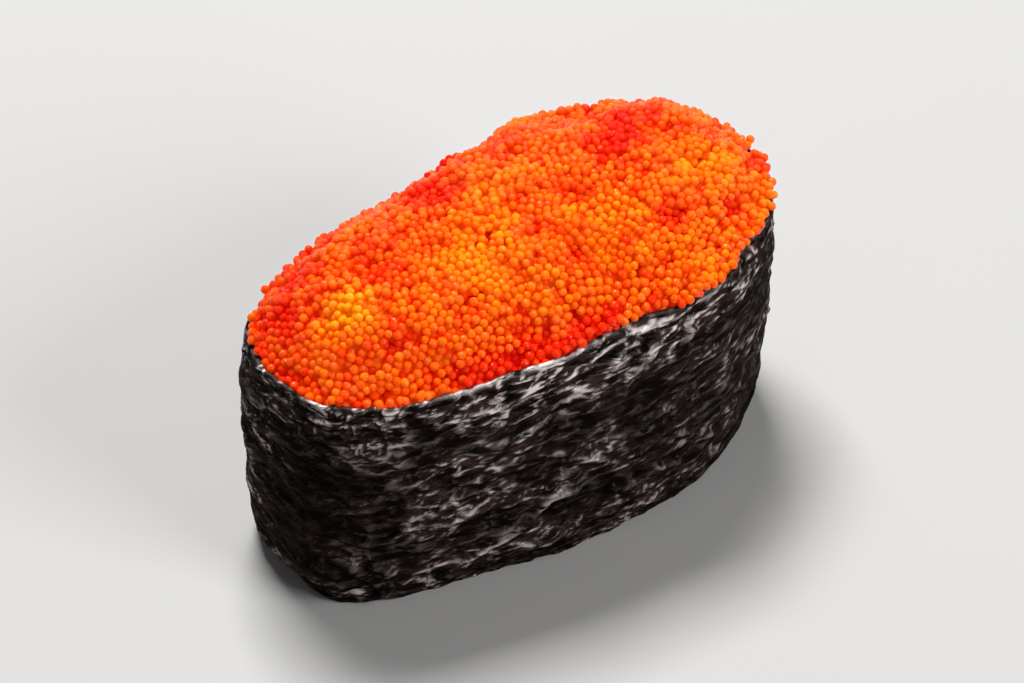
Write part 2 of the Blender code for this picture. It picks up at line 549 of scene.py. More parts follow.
def softened(field, across, down):
    """A field smoothed over this many columns and rows, so that no facet shows."""
    for axis, reach in ((0, across), (1, down)):
        steps = np.arange(-3 * reach, 3 * reach + 1)
        weights = np.exp(-0.5 * (steps / reach) ** 2)
        weights /= weights.sum()
        padding = [(3 * reach, 3 * reach) if i == axis else (0, 0) for i in (0, 1)]
        padded = np.pad(field, padding, mode="edge")
        field = np.apply_along_axis(np.convolve, axis, padded, weights, mode="valid")
    return field


def nori_rows():
    """Heights of the outer rows as shares of the rim's height: close together on the curl."""
    curl = CURL_HEIGHT / RIM
    on_curl = round(ROWS * 0.27)
    angles = np.linspace(math.radians(13), math.pi / 2, on_curl, endpoint=False)
    return np.append(curl * (1 - np.cos(angles)), np.linspace(curl, 1.0, ROWS - on_curl))


# Single folds on the -Y side in millimetres: height, half width, and places along X and up.
FOLDS = (
    (-0.60, 1.0, (-25.5, 25.0), (-25.2, 18.0), (-24.2, 9.0)),
    (0.45, 0.40, (-25.4, 24.0), (-24.8, 21.5), (-23.0, 20.0), (-20.5, 19.8), (-18.0, 18.5)),
    (0.40, 0.35, (-24.6, 17.0), (-23.5, 15.8), (-18.0, 15.8)),
    (0.40, 0.35, (-25.0, 12.2), (-23.5, 13.5), (-21.0, 13.5)),
    (0.45, 0.40, (-23.0, 9.4), (-20.0, 9.8), (-19.0, 10.8), (-17.0, 10.8), (-14.5, 9.2)),
    (0.60, 0.40, (-23.4, 6.0), (-22.0, 4.6), (-20.0, 1.8)),
    (0.60, 0.40, (-21.6, 6.4), (-20.2, 4.8), (-19.0, 3.4)),
    (0.45, 0.35, (-24.4, 4.8), (-23.6, 2.8)),
    (0.45, 0.40, (-14.6, 18.9), (-12.5, 18.6), (-7.4, 18.3)),
    (0.35, 0.35, (-16.5, 23.2), (-15.0, 23.2), (-11.0, 22.9), (-6.0, 22.9)),
    (0.35, 0.35, (-14.0, 14.6), (-10.6, 14.2)),
    (0.45, 0.40, (-2.0, 24.0), (0.8, 23.9), (5.0, 23.2), (10.8, 22.8)),
    (0.40, 0.35, (1.8, 21.0), (4.7, 22.6)),
    (0.40, 0.35, (-4.2, 13.4), (-0.5, 12.2), (2.4, 13.6), (6.3, 14.1)),
    (0.40, 0.35, (4.0, 11.8), (6.0, 11.8), (9.0, 9.6), (13.2, 6.5)),
    (0.75, 0.50, (-16.5, 2.4), (-13.6, 4.4), (-10.6, 5.8), (-7.3, 7.0), (-5.6, 9.3), (-3.1, 9.5)),
    (0.60, 0.45, (0.8, 7.6), (2.9, 6.6), (5.0, 7.7), (7.7, 6.9)),
    (0.45, 0.40, (16.3, 9.8), (18.0, 9.9), (19.7, 9.0)),
    (0.40, 0.35, (19.0, 15.4), (22.1, 14.0)),
)
USUAL_GLINT = 0.80
# How much more or less the painted glints show: place along X and up in millimetres, reach, and factor.
# Above 1 it paints more highlight; below 1 it gives fewer glints and darker mottling, a painted shade at
# the narrow end.
GLINTS = (
    (-26.5, 15.0, 7.0, 0.15),
    (-25.5, 7.5, 3.5, 0.30),
    (-21.0, 4.0, 2.5, 1.40),
    (-18.4, 6.0, 1.6, 0.30),
    (-14.5, 14.5, 4.0, 1.35),
    (-9.0, 18.4, 1.2, 1.60),
    (-3.5, 24.0, 4.5, 1.60),
    (-2.1, 8.0, 2.0, 0.30),
    (1.0, 17.5, 4.5, 0.50),
    (5.0, 23.5, 5.0, 1.30),
    (14.0, 10.0, 10.0, 0.65),
    (21.0, 5.0, 6.0, 0.40),
)


def off_line(x, up, line):
    """Distance in millimetres from places to a line of points."""
    nearest = np.full(len(x), np.inf)
    for (x0, up0), (x1, up1) in zip(line, line[1:]):
        dx, dup = x1 - x0, up1 - up0
        share = np.clip(((x - x0) * dx + (up - up0) * dup) / (dx * dx + dup * dup), 0, 1)
        nearest = np.minimum(nearest, np.hypot(x - x0 - share * dx, up - up0 - share * dup))
    return nearest


def single_folds(x, y, height):
    """(outward shift in metres, crest share) of the folds that stand out on the -Y side."""
    shift, crest = np.zeros(len(x)), np.zeros(len(x))
    front = smooth(-y / (2 * MM))
    wander = 0.35 * noise_at(np.stack([x, y, height], 1), 1.6 * MM, 9)
    for depth, half_width, *line in FOLDS:
        off = (off_line(x / MM, height / MM, line) + wander) / half_width
        form = front * np.exp(-off * off)
        shift += depth * MM * form
        if depth > 0:
            crest = np.maximum(crest, 0.9 * form**5)
    return shift, crest


def shine_at(x, y, height):
    """How strongly the glints painted on the nori show, from place to place, up to about 1; where it is
    low, the painted mottling is darker too, a painted shade.
    """
    # The painted glints grow stronger from 20 mm up, a painted highlight near the rim.
    shine = USUAL_GLINT * (0.86 + 0.50 * smooth((height / MM - 20) / 4))
    for along, up, reach, factor in GLINTS:
        off = ((x / MM - along) ** 2 + (height / MM - up) ** 2) / reach**2
        shine *= 1 + (factor - 1) * np.exp(-off) * (y < 0)
    return shine


def wrinkles(along, up, x, y):
    """(outward shift in metres, crest share) of the nori's wrinkles at places on the strip."""
    settings = bpy.context.scene.gunkan_nori
    flat = np.stack([along, up, 0 * up], axis=1)
    # The pattern swims, and leans over near the narrow end and on the curled foot.
    swim = noise_at(flat, 6.0 * MM, 1)
    sway = noise_at(flat, 4.0 * MM, 2)
    narrow = smooth((-x / MM - 17.0) / 7.0)
    foot = smooth(1 - up / (9 * MM))
    lean = 0.10 + 0.7 * narrow * sway + 0.4 * foot * swim
    run = along + lean * up + 1.4 * MM * swim
    climb = up - 0.12 * lean * along + 0.6 * MM * sway
    # The sheet clings to the grains below: long low lumps, with creases between them.
    grains = np.stack([run / 2.0, climb, 0 * up], axis=1)
    lumps = 1 - cells_at(grains, 1.80 * MM, 3) ** 2
    # It has shrunk into ridges over them, some of them fine.
    streaks = np.stack([run / 2.6, climb, 0 * up], axis=1)
    ridges = 1 - 2.2 * np.abs(noise_at(streaks, 1.45 * MM, 4))
    fine = 1 - 2.2 * np.abs(noise_at(streaks, 0.80 * MM, 8))
    dents = noise_at(np.stack([along / 1.7, up, 0 * up], axis=1), 3.4 * MM, 5)
    corner = narrow * smooth((-y / MM - 6.0) / 5.0)
    strength = 1 + 0.7 * corner * smooth(1 - up / (16 * MM))
    relief = 0.55 * lumps + 0.30 * ridges + 0.15 * fine
    shift = strength * settings.wrinkle_depth * (relief - 0.60) + settings.dent_depth * dents
    crest = np.maximum(smooth((ridges - 0.76) / 0.22), 0.8 * smooth((fine - 0.78) / 0.20))
    return shift, crest * smooth((relief - 0.35) / 0.3)


class GUNKAN_OT_nori(bpy.types.Operator):
    """Wrap a strip of wrinkled nori round the band, over its own hidden end"""

    bl_idname = "gunkan.nori"
    bl_label = "Nori"

    def execute(self, context):
        settings = context.scene.gunkan_nori
        band = tree_of("nori_band")
        turns, girth = even_turns(band, COLUMNS + 1)
        hidden = round(COLUMNS * HIDDEN_END / (girth + HIDDEN_END))
        turns, girth = even_turns(band, COLUMNS + 1 - hidden)
        shares = nori_rows()

        # The outer face, from the strip's visible start round to its outer end.
        radii = np.zeros((len(turns), ROWS))
        rims = np.zeros(len(turns))
        for column, turn in enumerate(turns):
            rims[column] = RIM
            while outer_radius(band, turn, rims[column]) is None:
                rims[column] -= 0.05 * MM
            for row, share in enumerate(shares):
                radii[column, row] = outer_radius(band, turn, share * (rims[column] - 0.05 * MM))
        radii = softened(radii, 6, 5)
        rims = softened(rims[:, None], 6, 1)[:, 0]
        rims -= BACK_DIP * smooth((np.sin(turns) + 0.1) / 0.5)

        # The inner end runs on behind the outer one, which is pressed down onto it.
        step = radii[-1] - radii[0]
        lead = slice(-1 - hidden, -1)
        sunk = np.append(radii[lead] - step, radii, axis=0)
        turns = np.append(turns[lead] - 2 * math.pi, turns)
        rims = np.append(rims[lead], rims)
        runs = np.linspace(-HIDDEN_END, girth, COLUMNS + 1)
        pressed = smooth((runs - girth + PRESSED_END) / PRESSED_END)[:, None]
        sunk -= pressed * (step - settings.thickness - BETWEEN_LAYERS)
        wide_end = smooth((sunk * np.cos(turns)[:, None] - WIDE_END_FROM) / WIDE_END_BLEND)
        back = smooth((np.sin(turns) + 0.1) / 0.5)[:, None]
        sunk -= DRAWN_IN * np.maximum(wide_end, back) * smooth((shares - 0.78) / 0.22)

        bpy.ops.object.select_all(action="DESELECT")
        bpy.ops.mesh.primitive_grid_add(
            x_subdivisions=COLUMNS, y_subdivisions=ROWS + INNER_ROWS, size=1
        )
        strip = context.object
        strip.name = strip.data.name = "nori_wrap"
        flat = points_of(strip.data)
        column = np.rint((flat[:, 0] + 0.5) * COLUMNS).astype(int)
        row = np.rint((flat[:, 1] + 0.5) * (ROWS + INNER_ROWS)).astype(int)

        # Rows past the rim come down the inside, and the last one closes on the first.
        inner = np.clip((row - ROWS) / INNER_ROWS, 0, 1)
        outside = row < ROWS
        level = np.where(outside, row, np.rint((ROWS - 1) * (1 - inner))).astype(int)
        height = shares[level] * rims[column]
        reach = sunk[column, level]
        x, y = reach * np.cos(turns[column]), reach * np.sin(turns[column])
        up = np.cumsum(np.append(0, np.hypot(np.diff(shares * RIM), np.diff(radii.mean(0)))))[level]
        along = runs[column]
        shift, crest = wrinkles(along, up, x, y)
        fold, fold_crest = single_folds(x, y, height)
        shift += fold
        crest = np.maximum(crest, fold_crest)
        fray = noise_at(np.stack([along, 0 * up, 0 * up], axis=1), 1.1 * MM, 6)
        height += 0.22 * MM * fray * smooth((height - 0.92 * RIM) / (0.08 * RIM))
        closing = row == ROWS + INNER_ROWS
        wall = np.where(outside | closing, 0.0, settings.thickness)
        reach = reach + shift - wall
        points = np.stack([reach * np.cos(turns[column]), reach * np.sin(turns[column]), height], 1)
        set_points(strip.data, points)
        set_attribute(strip.data, "crest", crest)
        set_attribute(strip.data, "shine", shine_at(x, y, height))
        # Painted highlight: a paler line along the cut edge at the rim, strongest on the -Y side from
        # about x -17 to -1 mm.
        in_front = smooth((x / MM + 17) / 3) * smooth((-1 - x / MM) / 4) * (y < 0)
        cut_edge_highlight = np.exp(-((rims[column] - height).clip(0) / (0.32 * MM)) ** 2) * outside
        cut_edge_highlight *= 0.08 + 0.82 * in_front
        set_attribute(strip.data, "cut_edge_highlight", cut_edge_highlight)

        layer = strip.data.uv_layers[0]
        layer.name = "Strip"
        corner = np.empty(len(strip.data.loops), np.int32)
        strip.data.loops.foreach_get("vertex_index", corner)
        layer.data.foreach_set("uv", np.stack([along, up], 1)[corner].astype(np.float32).ravel())

        in_edit_mode(
            strip,
            lambda: bpy.ops.mesh.remove_doubles(threshold=0.002 * MM),
            lambda: bpy.ops.mesh.select_all(action="DESELECT"),
            lambda: bpy.ops.mesh.select_non_manifold(extend=False),
            lambda: bpy.ops.mesh.edge_face_add(),
            lambda: bpy.ops.mesh.select_all(action="SELECT"),
            lambda: bpy.ops.mesh.normals_make_consistent(inside=False),
        )
        finished(strip, nori_finish(settings), ["nori_band"])
        return {"FINISHED"}


# ---------------------------------------------------------------- roe

CUT_BELOW_RIM = 1.8 * MM  # the core reaches this far into the band
CORE_VOXEL = 0.2 * MM
IN_BAND = 0.30 * MM  # inside the band, the roe fills the CAD clearance and the thinner nori
SUNK = 0.35 * MM  # the heap lies this much lower, as its lumps stand out of it
SPILL_FROM, SPILL_TO = 0.8 * MM, 2.8 * MM  # the spill dies out at these heights above the rim
# How far the heap spills over the rim, in millimetres, by direction in degrees from +X.
SPILL_ROUND = (
    (-170, 0.05),
    (-155, 0.20),
    (-125, 0.00),
    (-100, 0.35),
    (-75, 0.65),
    (-40, 0.80),
    (-15, 0.60),
    (10, 0.45),
    (40, 0.40),
    (70, 0.60),
    (110, 0.90),
    (135, 0.75),
    (165, 0.05),
)
NEST = 0.70  # the layers nest: one lies this share of an egg above the other
SPREADING_ROUNDS = 14
PACKING = 0.81  # eggs press into each other down to this share of touching


def round_the_rim(table, turns):
    """Reads a table of directions in degrees and millimetres at directions in radians."""
    directions, amounts = zip(*table)
    return MM * np.interp(np.degrees(turns), directions, amounts, period=360)


def spill_at(points):
    """How far over the rim the heap spills at these places."""
    spill = round_the_rim(SPILL_ROUND, np.arctan2(points[:, 1], points[:, 0]))
    return spill * (1 + 0.8 * noise_at(points * [1, 1, 0], 2.6 * MM, 11))


def lumps_at(points):
    """How far the small lumps of the heap stand out of its outline, from -1 to 1."""
    return 0.75 * noise_at(points, 3.3 * MM, 22) + 0.45 * noise_at(points, 1.6 * MM, 21)


def heap_outline():
    """The heap's outline as a fine mesh, spread against the nori and over its rim."""
    heap = copy_of_node("roe_heap", "roe_core")
    apply_modifier(heap, "REMESH", mode="VOXEL", voxel_size=CORE_VOXEL, adaptivity=0.0)
    apply_modifier(heap, "SMOOTH", factor=0.5, iterations=10)
    points, normals = points_of(heap.data), normals_of(heap.data)
    level = normals * [1, 1, 0]
    length = np.linalg.norm(level, axis=1, keepdims=True)
    sideways = level / np.maximum(length, 1e-6)
    above = (points[:, 2] - RIM) / MM
    spread = IN_BAND + (spill_at(points) - IN_BAND) * smooth((above + 0.3) / 0.7)
    spread *= smooth((SPILL_TO / MM - above) / ((SPILL_TO - SPILL_FROM) / MM))
    points += sideways * smooth(length / 0.5) * spread[:, None]
    points[:, 2] -= SUNK * smooth((above - 0.5) / 2.0)
    set_points(heap.data, points)
    in_edit_mode(
        heap,
        lambda: bpy.ops.mesh.bisect(
            plane_co=(0, 0, RIM - CUT_BELOW_RIM),
            plane_no=(0, 0, 1),
            use_fill=True,
            clear_inner=True,
        ),
        lambda: bpy.ops.mesh.select_all(action="SELECT"),
        lambda: bpy.ops.mesh.normals_make_consistent(inside=False),
    )
    return heap


def sites_on(mesh, spacing, share, random):
    """Places on a mesh's skin about this far apart, and its normals there.

    They start at random and push each other apart. share is how much of the skin they take up.
    Its flat underside is left out.
    """
    mesh.calc_loop_triangles()
    corners = np.empty(len(mesh.loop_triangles) * 3, np.int32)
    mesh.loop_triangles.foreach_get("vertices", corners)
    corners = corners.reshape(-1, 3)
    points = points_of(mesh)
    spots = points[corners]
    crosses = np.cross(spots[:, 1] - spots[:, 0], spots[:, 2] - spots[:, 0])
    area = np.linalg.norm(crosses, axis=1) / 2
    area[crosses[:, 2] < -1.6 * area] = 0.0
    count = int(share * area.sum() / (math.sqrt(3) / 2 * spacing**2))
    chosen = random.choice(len(area), size=count, p=area / area.sum())
    mix = random.dirichlet((1.0, 1.0, 1.0), size=count)[:, :, None]
    places = [Vector(p) for p in (spots[chosen] * mix).sum(1)]
    skin = BVHTree.FromPolygons(points.tolist(), corners.tolist())
    for _ in range(SPREADING_ROUNDS):
        near = KDTree(count)
        for index, place in enumerate(places):
            near.insert(place, index)
        near.balance()
        moved = []
        for place in places:
            push = Vector()
            for spot, _, away in near.find_n(place, 7):
                if 0 < away < spacing:
                    push += (place - spot) * (spacing / away - 1)
            moved.append(skin.find_nearest(place + push * 0.35)[0])
        places = moved
    ways = [skin.find_nearest(place)[1] for place in places]
    return np.array(places), np.array(ways)


def nori_tree():
    """The wrap's surface, for rays."""
    mesh = bpy.data.objects["nori_wrap"].data
    faces = [tuple(face.vertices) for face in mesh.polygons]
    return BVHTree.FromPolygons(points_of(mesh).tolist(), faces)


def outward_of(place):
    return Vector((place.x, place.y, 0.0)).normalized()


def rim_at(nori, out):
    """The rim's outer edge in a level direction."""
    height = RIM
    spot = None
    while spot is None or spot.dot(out) < 0:
        height -= 0.1 * MM
        spot = nori.ray_cast(out * FAR + Vector((0, 0, height)), -out)[0]
    return spot


def clear_of_nori(nori, eggs, overhang):
    """Which eggs neither poke into the nori, lie outside it below its rim nor hang further over it."""
    kept = np.ones(len(eggs), bool)
    for index in np.flatnonzero(eggs[:, 2] < RIM + 1.5 * eggs[:, 3]):
        centre, radius = Vector(eggs[index, :3]), eggs[index, 3]
        outward = Vector((centre.x, 3 * centre.y, 0)).normalized()
        below = centre - Vector((0, 0, 1.8 * MM))
        away = nori.find_nearest(centre)[3]
        held = nori.ray_cast(below, outward)[0] and not nori.ray_cast(centre, -outward, 2 * MM)[0]
        rim = rim_at(nori, outward_of(centre))
        over = centre.xy.length - rim.xy.length
        kept[index] = away > 0.75 * radius and over < overhang and (held or centre.z > rim.z)
    return kept


def in_company(eggs, others, reach, fewest):
    """Which eggs have at least this many about them, themselves among them."""
    laid = KDTree(len(others))
    for index, egg in enumerate(others):
        laid.insert(egg[:3], index)
    laid.balance()
    return np.array([len(laid.find_range(egg[:3], reach)) >= fewest for egg in eggs])


def settle(places, ways, radii, lowest, highest, below):
    """Drops eggs in turn onto those below. Each rises along its way until it clears the others.

    Returns the centres and the indices of those that clear them before they rise too high.
    """
    cell = 2.2 * radii.max()
    cells = {}

    def lay(egg):
        key = tuple(math.floor(c / cell) for c in egg[:3])
        cells.setdefault(key, []).append(egg)

    for egg in below.tolist():
        lay(egg)
    kept, centres = [], []
    for index, (place, way) in enumerate(zip(places.tolist(), ways.tolist())):
        radius, low, high = radii[index], lowest[index], highest[index]
        start = [p + w * low for p, w in zip(place, way)]
        keys = [math.floor(c / cell) for c in start]
        around = itertools.product(*((k - 1, k, k + 1) for k in keys))
        near = [egg for key in around for egg in cells.get(key, ())]
        spans = []
        for *spot, other in near:
            off = [o - p for o, p in zip(spot, place)]
            ahead = sum(o * w for o, w in zip(off, way))
            aside = sum(o * o for o in off) - ahead * ahead
            room = (PACKING * (radius + other)) ** 2 - aside
            if room > 0:
                half = math.sqrt(room)
                spans.append((ahead - half, ahead + half))
        rise = low
        for bottom, top in sorted(spans):
            if bottom < rise - 1e-9 and top > rise:
                rise = top
        if rise <= high:
            centre = [p + w * rise for p, w in zip(place, way)]
            lay((*centre, radius))
            kept.append(index)
            centres.append(centre)
    return np.array(centres), np.array(kept)


def one_egg(cuts):
    """An egg of radius 1, a little flattened, as (points, faces). Each face of a cube is cut so often."""
    bpy.ops.object.select_all(action="DESELECT")
    bpy.ops.mesh.primitive_cube_add(size=1, location=(0, 0, 0))
    egg = bpy.context.object
    in_edit_mode(
        egg,
        lambda: bpy.ops.mesh.subdivide(number_cuts=cuts),
        lambda: bpy.ops.transform.tosphere(value=1),
    )
    points = points_of(egg.data)
    points /= np.linalg.norm(points, axis=1).mean()
    faces = np.array([tuple(face.vertices) for face in egg.data.polygons])
    bpy.data.objects.remove(egg)
    return points * [1.04, 1.0, 0.95], faces


def turned(points, turns):
    """Each point set turned by its own random rotation, from quaternions."""
    w, x, y, z = turns.T
    rows = np.array(
        [
            [1 - 2 * (y * y + z * z), 2 * (x * y - z * w), 2 * (x * z + y * w)],
            [2 * (x * y + z * w), 1 - 2 * (x * x + z * z), 2 * (y * z - x * w)],
            [2 * (x * z - y * w), 2 * (y * z + x * w), 1 - 2 * (x * x + y * y)],
        ]
    )
    return np.einsum("ijn,kj->nki", rows, points)


def joined_copies(name, points, faces):
    """One mesh object of many copies: points is copies x points x 3, and faces are one copy's."""
    copies, each, _ = points.shape
    mesh = bpy.data.meshes.new(name)
    every = (faces[None] + (np.arange(copies) * each)[:, None, None]).reshape(-1, faces.shape[1])
    mesh.from_pydata(points.reshape(-1, 3).tolist(), [], every.tolist())
    made = bpy.data.objects.new(name, mesh)
    bpy.context.scene.collection.objects.link(made)
    return made


# Tints on the heap in millimetres and glow: place along X and Y, reach, and shift. They are partly the
# roe's own tone and partly painted light and shade; the deep red at the narrow end is a painted shadow.
TINTS = (
    (-22.0, -2.0, 2.6, 0.26),
    (-19.0, -2.5, 3.0, 0.32),
    (-14.5, -10.5, 2.6, 0.16),
    (-13.0, -4.0, 2.6, 0.16),
    (-6.5, -5.5, 3.0, 0.24),
    (-6.0, 0.0, 2.6, 0.18),
    (-2.5, -9.0, 2.2, 0.16),
    (-1.5, 1.5, 2.2, 0.14),
    (4.0, 4.0, 2.6, 0.20),
    (4.5, -14.0, 2.2, 0.16),
    (7.0, -6.5, 3.0, 0.20),
    (14.0, -11.0, 2.6, 0.18),
    (15.5, -4.5, 2.6, 0.18),
    (19.5, -4.5, 2.6, 0.18),
    (-27.0, 0.0, 4.5, -0.40),
    (-21.0, 5.0, 3.0, -0.20),
    (-15.0, -1.5, 1.8, -0.18),
    (-10.5, -5.5, 1.6, -0.18),
    (-5.0, 7.0, 3.2, -0.22),
    (6.0, -1.5, 2.2, -0.24),
    (12.0, -8.0, 1.8, -0.16),
    (14.0, 2.0, 2.4, -0.22),
    (16.0, 6.0, 3.0, -0.26),
    (22.0, -1.0, 2.0, -0.16),
)


def tint_at(points):
    """Shift of the eggs' glow where the heap is yellower or redder, partly the roe's own tone and partly
    painted light and shade.
    """
    x, y = points[:, 0] / MM, points[:, 1] / MM
    shift = np.zeros(len(points))
    for along, across, reach, amount in TINTS:
        shift += amount * np.exp(-((x - along) ** 2 + (y - across) ** 2) / reach**2)
    # Low behind the front rim, the eggs are painted a deep red: painted shade.
    low = smooth((1.3 - (points[:, 2] - RIM) / MM) / 0.9) * (y < 0)
    return shift - 0.36 * low * smooth((x + 17) / 4) * smooth((3 - x) / 5)


TRIES = 2500  # at placing an egg in the groove inside the rim, and again on the rim itself
GROOVE = (0.65 * MM, 1.60 * MM)  # how far inside the rim's outer edge the groove's eggs lie
BESIDE_RIM, OVER_RIM = 1.0 * MM, 0.25 * MM  # how far inside and outside that edge the others do


def groove_sites(nori, random):
    """Places in the groove between the heap and the nori, all the way round."""
    places = []
    for turn in random.uniform(-math.pi, math.pi, TRIES):
        out = Vector((math.cos(turn), math.sin(turn), 0.0))
        places.append(rim_at(nori, out) - out * random.uniform(*GROOVE) - Vector((0, 0, 0.6 * MM)))
    return places


def rim_sites(nori, random):
    """Places on the rim at the front and the wide end, where the heap spills over it."""
    turns = random.uniform(-math.pi, 0.4, TRIES)
    spills = round_the_rim(SPILL_ROUND, turns)
    places = []
    for turn in turns[spills > 0.25 * MM * random.uniform(0.5, 2.0, TRIES)]:
        out = Vector((math.cos(turn), math.sin(turn), 0.0))
        places.append(rim_at(nori, out) + out * random.uniform(-BESIDE_RIM, OVER_RIM))
    return places


def raised_clear(nori, places, radius):
    """Lifts places until an egg there lies clear of the nori."""
    for place in places:
        while nori.find_nearest(place)[3] < 0.8 * radius:
            place.z += 0.05 * MM
    return np.array(places)


class GUNKAN_OT_roe(bpy.types.Operator):
    """Heap the roe: a core with the relief of buried eggs, and loose eggs settled over it"""

    bl_idname = "gunkan.roe"
    bl_label = "Roe"

    def execute(self, context):
        settings = context.scene.gunkan_roe
        random = np.random.default_rng(settings.seed)
        radius, reach = settings.egg / 2, 1.15 * settings.egg
        heap = heap_outline()
        nori = nori_tree()
        buried, egg = one_egg(1), one_egg(2)
        material = roe_finish("Roe", 0.0)

        # The lower layer follows the outline, and the upper one rests in its hollows.
        places, ways = sites_on(heap.data, settings.egg * PACKING, 0.97, random)
        radii = self.some_radii(len(places), radius, random)
        lumps = lumps_at(places)
        depths = settings.lump_height * lumps - radius - NEST * settings.egg
        depths += 0.22 * radius * random.standard_normal(len(places))
        centres = places + ways * depths[:, None]
        lower = np.column_stack([centres, radii])
        kept = clear_of_nori(nori, lower, -0.1 * MM)
        lower, ways, lumps = lower[kept], ways[kept], lumps[kept]
        kept = in_company(lower, lower, reach, 5) | (lower[:, 2] > RIM + settings.egg)
        lower, ways, lumps = lower[kept], ways[kept], lumps[kept]
        # The lower layer's glow is lowered to a deeper red: painted shade between the eggs above.
        self.make_eggs("lower", buried, lower, ways, lumps - 0.9, material, random)

        places, ways = sites_on(heap.data, settings.egg * 1.02, 1.0, random)
        radii = self.some_radii(len(places), radius, random)
        lumps = lumps_at(places)
        lowest = settings.lump_height * lumps - radius - NEST * settings.egg
        highest = lowest + 0.95 * settings.egg
        centres, kept = settle(places, ways, radii, lowest, highest, lower)
        upper = np.column_stack([centres, radii[kept]])
        ways, lumps = ways[kept], lumps[kept]
        kept = clear_of_nori(nori, upper, settings.egg)
        upper, ways, lumps = upper[kept], ways[kept], lumps[kept]

        # More cover the rim where the heap spills over it, and fill the groove inside it.
        for sites, rise, fewest in ((rim_sites, 0.9, 6), (groove_sites, 0.6, 2)):
            places = raised_clear(nori, sites(nori, random), radius)
            out = np.tile([0.0, 0.0, 1.0], (len(places), 1))
            radii = self.some_radii(len(places), radius, random)
            laid = np.concatenate([lower, upper])
            highest = np.full(len(places), rise * settings.egg)
            centres, kept = settle(places, out, radii, 0 * highest, highest, laid)
            upper = np.concatenate([upper, np.column_stack([centres, radii[kept]])])
            ways, lumps = np.concatenate([ways, out[kept]]), np.append(lumps, lumps_at(centres))
            kept = in_company(upper, np.concatenate([lower, upper]), reach, fewest)
            print("rim eggs", len(centres), "alone", (~kept).sum())
            upper, ways, lumps = upper[kept], ways[kept], lumps[kept]
        self.make_eggs("upper", egg, upper, ways, lumps, material, random)
        print("eggs", len(lower), len(upper))

        self.make_core(heap, radius, random)
        return {"FINISHED"}

    def some_radii(self, count, radius, random):
        return radius * (1 + 0.08 * np.clip(random.standard_normal(count), -2, 2))

    def make_core(self, heap, radius, random):
        """Draws the outline in and gives it the relief of a layer of buried eggs, painted a deep red as
        shade and a little lighter on their tops.
        """
        sites, _ = sites_on(heap.data, 2.2 * radius, 0.9, random)
        beds = KDTree(len(sites))
        for index, site in enumerate(sites):
            beds.insert(site, index)
        beds.balance()
        points, normals = points_of(heap.data), normals_of(heap.data)
        inside = 0.45 + 0.55 * smooth((points[:, 2:] - RIM + CUT_BELOW_RIM) / (0.3 * MM))
        away = np.array([beds.find(point)[2] for point in points])
        relief = np.sqrt(np.clip(1 - (away / radius) ** 2, 0, 1))
        lumps = bpy.context.scene.gunkan_roe.lump_height * lumps_at(points)
        drawn_in = lumps - 4.4 * radius + 0.7 * radius * relief
        set_points(heap.data, points + normals * inside * drawn_in[:, None])
        # Painted shade: the core is a deep red, a little lighter where a buried egg's top stands out.
        set_attribute(heap.data, "glow", 0.02 + 0.15 * relief)
        finished(heap, roe_finish("Roe in the heap", 0.0), ["roe_heap"])

    def make_eggs(self, layer, egg, eggs, ways, lumps, material, random):
        """Joins the eggs of a layer in two pieces, one for each half of the heap."""
        centres, radii = eggs[:, :3], eggs[:, 3]
        turns = random.standard_normal((len(eggs), 4))
        turns /= np.linalg.norm(turns, axis=1, keepdims=True)
        shapes = turned(egg[0], turns)
        # Painted light and shade in the glow: each egg is yellower at its outward tip and redder on its
        # sides, and eggs on lumps are yellower than those in hollows. own is each egg's random tone.
        outward = np.einsum("nki,ni->nk", shapes, ways)
        own = 0.06 * random.standard_normal(len(centres))
        level = 0.42 + 0.16 * lumps + own + tint_at(centres)
        glow = level[:, None] + 0.06 * outward
        points = centres[:, None] + shapes * radii[:, None, None]
        for side, members in (("narrow", centres[:, 0] < 0), ("wide", centres[:, 0] >= 0)):
            piece = joined_copies(f"roe_{layer}_{side}", points[members], egg[1])
            set_attribute(piece.data, "glow", glow[members])
            finished(piece, material)


# ---------------------------------------------------------------- rice

GRAIN_WIDTH = 0.42  # as a share of its length


